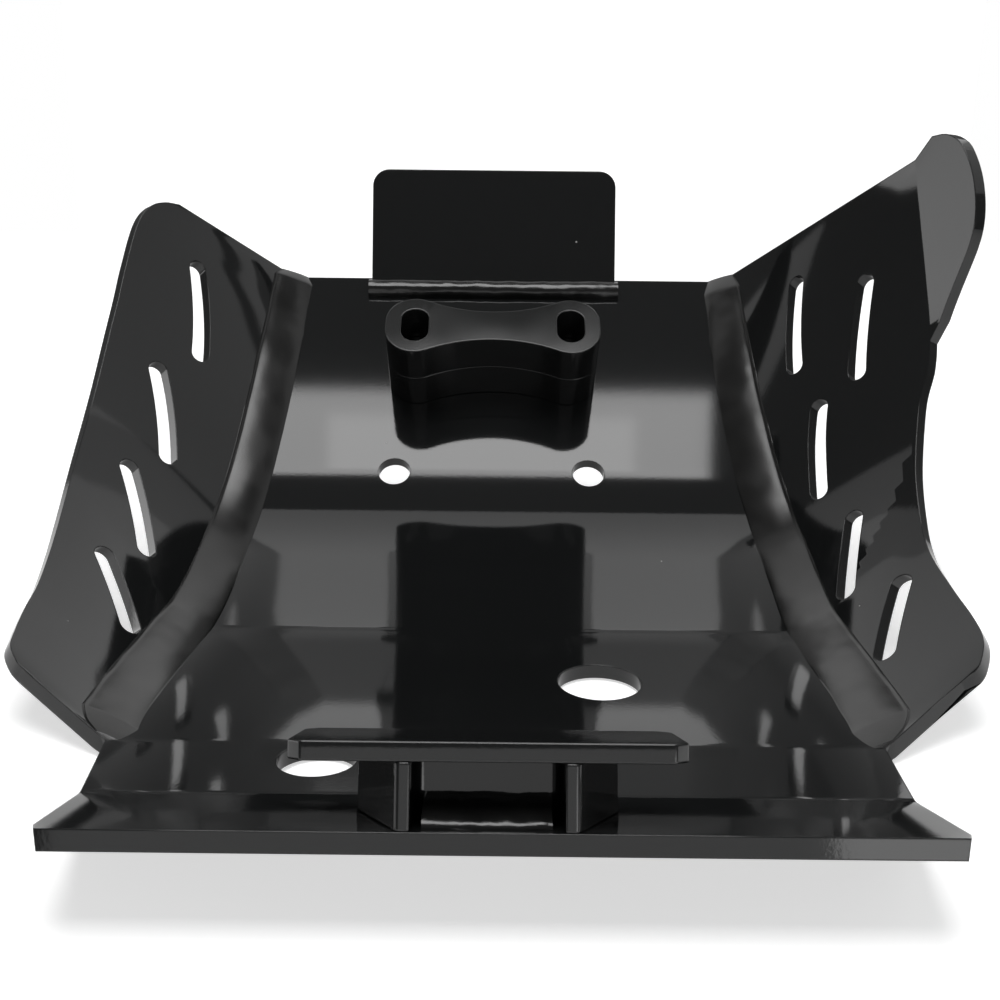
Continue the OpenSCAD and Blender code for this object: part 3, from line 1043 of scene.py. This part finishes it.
RIGHT_WING = Wing(
    "right_side_wing", "right_wing", "right_wing_weld", False,
    (170.0, 146.6, 65.2), (57.5, -16.5, -54.0), 255.0,
    ((128, -128, -54, 143), (131, -122, -50, 144.5), (130, -115, -45, 145.5), (126, -106, -37, 146),
     (117, -96, -25, 146.5), (101, -81, -4, 147), (83, -62, 26, 147), (71, -41, 60, 147),
     (61, -14, 98, 147.5), (56, 18, 135, 144.5), (58, 38, 160, 141), (57, 57, 185, 139),
     (54, 81, 212, 138), (52.3, 103, 236, 138), (52, 123, 257, 138.5), (52.6, 136, PAN.front_edge.x, 139)),
    ((-24, 71, 8, 3), (18.6, 62.5, 0, 5), (4.3, -2.8, 11, 5), (40.6, -63.2, 17, 10), (82.3, -98.8, 17.5, 14)),
    fold_rib=11,
    lobe_line=((1.5, 7), (8, 11.5), (16, 17.5), (24, 23.8), (31, 29), (38.5, 33), (47, 35.3), (56, 36),
               (65, 35.4), (74, 33.3), (82.5, 29.6), (89.5, 22), (92.5, 12.5)))


@dataclass(frozen=True)
class Pan:
    """The bent centre pan with its holes."""

    rear_half_left: float = 124.0
    rear_half_right: float = 132.0
    rear_corner: float = 5.0
    drain_r: float = 17.0
    drain_x: float = 45.0
    rear_hole_r: float = 14.0
    rear_hole_x: float = -59.5
    rear_hole_u: float = 27.5
    front_hole_r: float = 8.5
    front_hole_gap: float = 104.0
    front_hole_t: float = 11.0
    bolt_r: float = 4.25
    lobe_gap: float = 84.0
    pocket_len: float = 8.2
    cutter_reach: float = 15.0
    uncut_half: float = 160.0
    outline_low: float = -200.0
    outline_high: float = 300.0
    flat_across: float = 0.02
    least_level: float = 0.7
    mirror_slopes: tuple[tuple[float, float], ...] = (
        (56.5, 9.0), (70.0, 10.5), (95.0, 12.5), (113.0, 14.0), (124.0, 19.0), (134.0, 26.0), (142.0, 32.0),
        (150.0, 34.6), (156.0, 36.5), (160.0, 37.9), (163.0, 39.4), (166.0, 40.0))

    def outline(self) -> list[Vector]:
        """Outline of the pan seen from above. Its sides are the feet of the wing ribs."""
        rear_y, nose_y = PAN.rear_edge.x - PAN.sheet, PAN.front_edge.x + 2 * PAN.sheet
        right, left = RIGHT_WING.rows, LEFT_WING.rows
        points = [Vector((self.rear_half_right - self.rear_corner, rear_y)),
                  Vector((self.rear_half_right, PAN.rear_edge.x + self.rear_corner))]
        points += [Vector((row[3], row[2])) for row in right]
        points += [Vector((right[-1][3], nose_y)), Vector((-left[-1][3], nose_y))]
        points += [Vector((-row[3], row[2])) for row in reversed(left)]
        points += [Vector((-self.rear_half_left, PAN.rear_edge.x + self.rear_corner)),
                   Vector((-self.rear_half_left + self.rear_corner, rear_y))]
        return points

    def holes(self) -> list[bpy.types.Object]:
        """Returns the shapes that cut the holes."""
        front = (Matrix.Translation((0.0, PAN.curve_end.x, PAN.curve_end.y))
                 @ Matrix.Rotation(math.radians(PAN.front_rise), 4, "X"))
        middle = (Matrix.Translation((0.0, PAN.bend_1.x, PAN.bend_1.y))
                  @ Matrix.Rotation(math.radians(-PAN.mid_rise), 4, "X"))
        low, high = -self.cutter_reach, self.cutter_reach
        drain = circle(self.drain_r, (self.drain_x, 0.0))
        rear = circle(self.rear_hole_r, (self.rear_hole_x, self.rear_hole_u))
        shapes = [prism("drain", drain, low, high, Matrix.Identity(4)),
                  prism("rear_hole", rear, low, high, middle)]
        bolt_t = PAN.block_at + self.pocket_len / 2
        for s in (-1, 1):
            hole = circle(self.front_hole_r, (s * self.front_hole_gap / 2, self.front_hole_t))
            bolt = circle(self.bolt_r, (s * self.lobe_gap / 2, bolt_t), 40)
            shapes.append(prism("front_hole", hole, low, high, front))
            shapes.append(prism("bolt_hole", bolt, low, high, front))
        return shapes

    def shade_curve(self, piece: bpy.types.Object) -> None:
        """Turns the normals of the front curve, so that it mirrors the studio as the photo does.

        The slopes aren't measured. They were set together with the overhead lamps, and suggest a
        sheet that rises almost straight from the floor and bends sharply into the front strip.

        Args:
            piece: The pan.
        """
        mesh = piece.data
        split = [Vector(n.vector) for n in mesh.corner_normals]
        low, high = self.mirror_slopes[0][0], self.mirror_slopes[-1][0]
        for poly in mesh.polygons:
            across = abs(poly.normal.x) < self.flat_across and abs(poly.normal.z) > self.least_level
            centre = poly.center.y / MM + DATUM.y
            if not across or not low < centre < high:
                continue
            side = 1 if poly.normal.z > 0 else -1
            for k in poly.loop_indices:
                y = mesh.vertices[mesh.loops[k].vertex_index].co.y / MM + DATUM.y
                normal = PAN.normal(self.mirror_slope(min(max(y, low), high)))
                split[k] = Vector((0.0, normal.x, normal.y)) * side
        mesh.normals_split_custom_set(split)

    def mirror_slope(self, y: float) -> float:
        """Slope that the normals take at a length along the part, in degrees."""
        for (y0, s0), (y1, s1) in zip(self.mirror_slopes, self.mirror_slopes[1:]):
            if y <= y1:
                return s0 + (s1 - s0) * (y - y0) / (y1 - y0)
        return self.mirror_slopes[-1][1]

    def build(self, finishes: Finishes) -> bpy.types.Object:
        """Builds the pan.

        Args:
            finishes: The materials.

        Returns:
            The piece.
        """
        line = PAN.upper_line()
        upper = [Vector((p.x, p.y)) for p, _ in line]
        lower = [Vector((p.x, p.y)) - PAN.sheet * PAN.normal(a) for p, a in line]
        bm = bmesh.new()
        for x in (-self.uncut_half, self.uncut_half):
            for p in upper + list(reversed(lower)):
                bm.verts.new((x, p.x, p.y))
        bm.verts.ensure_lookup_table()
        count = 2 * len(upper)
        for k in range(count):
            n = (k + 1) % count
            each = bm.faces.new((bm.verts[k], bm.verts[n], bm.verts[count + n], bm.verts[count + k]))
            each.material_index = (Face.CUT if k in (len(upper) - 1, count - 1) else Face.GLOSS).value
        for shift in (0, count):
            for k in range(len(upper) - 1):
                each = bm.faces.new([bm.verts[shift + i] for i in (k, k + 1, count - 2 - k, count - 1 - k)])
                each.material_index = Face.CUT.value
        whole = finish_mesh("pan_uncut", bm)
        piece = link("bent_pan", whole.data.copy())
        edge = prism("outline", self.outline(), self.outline_low, self.outline_high, Matrix.Identity(4))
        carve(piece, edge, "INTERSECT")
        for hole in self.holes():
            carve(piece, hole)
        shade(piece, 12.0, whole)
        bpy.data.objects.remove(whole)
        self.shade_curve(piece)
        settle(piece, "sheet_plastic", finishes.sheet, "centre_pan")
        return piece


@dataclass(frozen=True)
class SoftSolid:
    """A simple solid of the frame with its edges rounded."""

    node: str
    name: str
    slot: str
    edge_mm: float = 0.6
    segments: int = 2

    def build(self, gloss: bpy.types.Material, cut: bpy.types.Material,
              is_face: Callable[[Vector], bool]) -> bpy.types.Object:
        """Builds the piece.

        Args:
            gloss: Material of its faces.
            cut: Material of its cut edges.
            is_face: Tells from a normal whether a face is one of the solid's broad faces.

        Returns:
            The piece.
        """
        piece = node_copy(self.node, self.name)
        soften(piece, self.edge_mm, self.segments)
        for poly in piece.data.polygons:
            poly.material_index = 0 if is_face(poly.normal) else 1
        shade(piece, 50.0)
        settle(piece, self.slot, [gloss, cut], self.node)
        return piece


@dataclass(frozen=True)
class RoundBead:
    """A short weld bead laid across the part, with lumps along it."""

    node: str
    name: str
    lumps: float = 0.35

    def build(self, finishes: Finishes) -> bpy.types.Object:
        """Builds the bead from its node, finer and uneven.

        Args:
            finishes: The materials.

        Returns:
            The piece.
        """
        piece = node_copy(self.node, self.name)
        bm = bmesh.new()
        bm.from_mesh(piece.data)
        bmesh.ops.remove_doubles(bm, verts=bm.verts, dist=2e-6)
        low = min(v.co.x for v in bm.verts)
        high = max(v.co.x for v in bm.verts)
        steps = max(4, int((high - low) / 0.0015))
        for k in range(1, steps):
            bmesh.ops.bisect_plane(bm, geom=bm.verts[:] + bm.edges[:] + bm.faces[:], dist=1e-6,
                                   plane_co=(low + (high - low) * k / steps, 0, 0), plane_no=(1, 0, 0))
        bm.normal_update()
        for vert in bm.verts:
            wave = noise.noise(vert.co * 90.0) + 0.5 * noise.noise(vert.co * 260.0)
            vert.co += vert.normal * wave * self.lumps * MM
        bm.to_mesh(piece.data)
        bm.free()
        shade(piece, 40.0)
        settle(piece, "weld_plastic", [finishes.weld], self.node)
        return piece


@dataclass(frozen=True)
class Lamp:
    """A soft rectangular lamp: its middle, the point that it faces, its size and its brightness.

    Lengths are in metres. A brightness of 1 is white.
    """

    name: str
    seat: tuple[float, float, float]
    aim: tuple[float, float, float]
    size: tuple[float, float]
    radiance: float

    def hang(self) -> None:
        """Hangs the lamp."""
        data = bpy.data.lights.new(self.name, "AREA")
        data.shape = "RECTANGLE"
        data.size, data.size_y = self.size
        data.energy = self.radiance * math.pi * self.size[0] * self.size[1]
        light = bpy.data.objects.new(self.name, data)
        bpy.context.scene.collection.objects.link(light)
        away = (Vector(self.seat) - Vector(self.aim)).normalized()
        light.matrix_world = Matrix.Translation(self.seat) @ away.to_track_quat("Z", "Y").to_matrix().to_4x4()
        light.visible_camera = False


@dataclass(frozen=True)
class Studio:
    """Camera, floor, backdrop and lamps."""

    focal_px: float = 1100.0
    frame_px: float = 1000.0
    sensor_mm: float = 36.0
    seat: tuple[float, float, float] = (0.0, -0.5957, 0.0656)
    pitch: float = 15.31
    roll: float = 0.0108
    side_px: float = 9.0
    floor_z: float = -0.131
    backdrop_x: float = 0.05
    backdrop_y: float = 1.6
    world_level: float = 0.13
    lamps: tuple[Lamp, ...] = (
        Lamp("overhead", (-0.06, -0.45, 1.5), (-0.06, -0.45, 0.0), (0.98, 0.96), 5.4),
        Lamp("overhead_middle", (-0.02, -0.43, 1.49), (-0.02, -0.43, 0.0), (0.6, 0.82), 1.4),
        Lamp("camera_low", (0.3, -2.2, 0.2), (0.1, -0.3, -0.1), (2.4, 0.6), 0.8),
        Lamp("low_left", (-2.3, 0.6, 0.14), (0.2, -0.05, 0.06), (1.6, 0.5), 2.4),
        Lamp("right_side", (1.7, -0.1, 1.6), (0.0, -0.1, 0.3), (1.5, 1.3), 0.5),
        Lamp("camera_right", (1.1, -2.1, 0.12), (0.1, -0.3, -0.1), (0.9, 0.5), 2.2))

    def place_camera(self) -> None:
        """Sets the camera where the photograph was taken from."""
        data = bpy.data.cameras.new("camera")
        data.sensor_width = self.sensor_mm
        data.lens = self.focal_px / self.frame_px * self.sensor_mm
        data.shift_x = self.side_px / self.frame_px
        data.clip_start, data.clip_end = 0.01, 50.0
        camera = bpy.data.objects.new("camera", data)
        bpy.context.scene.collection.objects.link(camera)
        turn = Matrix.Rotation(math.radians(90.0 - self.pitch), 4, "X") @ Matrix.Rotation(self.roll, 4, "Z")
        camera.matrix_world = Matrix.Translation(self.seat) @ turn
        bpy.context.scene.camera = camera

    def pale(self, name: str, colour: float, seen: float, glossy: float, far_seen: float = 0.0
             ) -> bpy.types.Material:
        """Builds the material of the floor or backdrop.

        Args:
            name: Name of the material.
            colour: Its grey.
            seen: Light that it adds for the camera, so that it shows white.
            glossy: Light that it adds where it is mirrored.
            far_seen: More light for the camera far from the part, where no shadow falls.

        Returns:
            The material.
        """
        material = bpy.data.materials.new(name)
        material.use_nodes = True
        tree = NodeTree(material.node_tree)
        base = tree.add("BsdfDiffuse", Color=(colour, colour, colour, 1.0))
        glow = tree.add("Emission", Color=(1.0, 1.0, 1.0, 1.0))
        path = tree.add("LightPath")
        place = tree.add("NewGeometry")
        away = tree.add("VectorMath", operation="LENGTH")
        tree.join(place.outputs["Position"], away.inputs[0])
        reach = tree.add("MapRange", From_Min=0.35, From_Max=1.1, To_Min=seen, To_Max=seen + far_seen)
        tree.join(away.outputs["Value"], reach.inputs["Value"])
        direct = tree.combine("MULTIPLY", path.outputs["Is Camera Ray"], reach.outputs[0])
        through = tree.combine("MAXIMUM", path.outputs["Is Glossy Ray"], path.outputs["Is Transmission Ray"])
        mirrored = tree.combine("MULTIPLY", through, glossy)
        tree.join(tree.combine("ADD", direct, mirrored), glow.inputs["Strength"])
        both = tree.add("AddShader")
        tree.join(base.outputs[0], both.inputs[0])
        tree.join(glow.outputs[0], both.inputs[1])
        out = tree.add("OutputMaterial")
        tree.join(both.outputs[0], out.inputs[0])
        return material

    def plane(self, name: str, middle: tuple[float, float, float], turn: tuple[float, float, float],
              size: tuple[float, float], material: bpy.types.Material) -> None:
        """Sets up one flat sheet of the studio.

        Args:
            name: Name of the object.
            middle: Its middle in metres.
            turn: Its turns in degrees.
            size: Its width and height in metres.
            material: Its material.
        """
        bm = bmesh.new()
        bmesh.ops.create_grid(bm, x_segments=4, y_segments=4, size=0.5)
        mesh = bpy.data.meshes.new(name)
        bm.to_mesh(mesh)
        bm.free()
        mesh.materials.append(material)
        board = link(name, mesh)
        facing = Euler([math.radians(a) for a in turn]).to_matrix().to_4x4()
        board.matrix_world = Matrix.Translation(middle) @ facing @ Matrix.Diagonal((*size, 1.0, 1.0))

    def world(self, level: float) -> None:
        """Sets the surroundings to a plain grey that the camera sees as white."""
        world = bpy.data.worlds.new("surroundings")
        bpy.context.scene.world = world
        world.use_nodes = True
        tree = NodeTree(world.node_tree)
        path = tree.add("LightPath")
        strength = tree.add("MapRange", To_Min=level, To_Max=1.0)
        tree.join(path.outputs["Is Camera Ray"], strength.inputs["Value"])
        back = tree.add("Background", Color=(1.0, 1.0, 1.0, 1.0))
        tree.join(strength.outputs[0], back.inputs["Strength"])
        out = tree.add("OutputWorld")
        tree.join(back.outputs[0], out.inputs[0])

    def build(self) -> None:
        """Builds the studio."""
        self.place_camera()
        self.world(self.world_level)
        floor = self.pale("pale_floor", 0.8, 0.62, 0.45, 0.4)
        middle = self.pale("pale_backdrop", 0.5, 1.0, 1.0)
        sides = self.pale("pale_backdrop_sides", 0.5, 1.0, 0.62)
        upright, x, y = (90, 0, 0), self.backdrop_x, self.backdrop_y
        self.plane("floor", (0.0, 1.0, self.floor_z), (0, 0, 0), (9.0, 9.0), floor)
        self.plane("backdrop", (x, y, 3.05), upright, (1.7, 6.4), middle)
        for s in (-1, 1):
            self.plane("backdrop_near_side", (x + s * 1.35, y, 3.7), upright, (1.0, 5.1), middle)
            self.plane("backdrop_side", (x + s * 2.85, y, 3.4), upright, (2.0, 4.5), sides)
        for lamp in self.lamps:
            lamp.hang()
        bpy.context.scene.view_settings.view_transform = "Standard"


def broad(axis: Vector, least: float = 0.9) -> Callable[[Vector], bool]:
    """Returns a test for faces that look along an axis or against it."""
    return lambda normal: abs(normal @ axis) > least


def main() -> None:
    """Builds the studio and every piece of the plate."""
    logging.basicConfig(level=logging.INFO, format="%(name)s: %(message)s")
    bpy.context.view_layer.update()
    Studio().build()
    finishes = Finishes()
    Pan().build(finishes)
    for wing in (LEFT_WING, RIGHT_WING):
        wing.build_sheet(finishes)
        wing.build_weld(finishes)
    tab_axis = Vector((0.0, *PAN.normal(75.0)))
    front_axis = Vector((0.0, *PAN.normal(PAN.front_rise)))
    rear_axis = Vector((0.0, *PAN.normal(-PAN.rear_rise)))
    tab = SoftSolid("front_tab", "upright_tab", "sheet_plastic")
    tab.build(finishes.gloss, finishes.cut, broad(tab_axis))
    # The foot layer is almost certainly a reflection that was read as a piece. The solids have it,
    # so it is dressed here too.
    for node, name in (("mount_block_lower", "block_reflection_layer"), ("mount_block_upper", "block_top_layer")):
        layer = SoftSolid(node, name, "block_plastic", 0.7)
        layer.build(finishes.block, finishes.block, broad(front_axis))
    cross_plate = SoftSolid("rear_cross_plate", "cross_plate", "sheet_plastic")
    cross_plate.build(finishes.gloss, finishes.scuffed, broad(rear_axis))
    bracket = SoftSolid("rear_bracket_block", "splayed_block", "block_plastic")
    bracket.build(finishes.gloss, finishes.cut, broad(Vector((1.0, 0.0, 0.0)), 0.8))
    RoundBead("front_tab_weld", "tab_foot_bead", 0.4).build(finishes)
    RoundBead("rear_pocket_weld", "pocket_bead", 0.5).build(finishes)
    RoundBead("rear_bracket_weld", "bracket_foot_bead", 0.4).build(finishes)


if __name__ == "__main__":
    main()
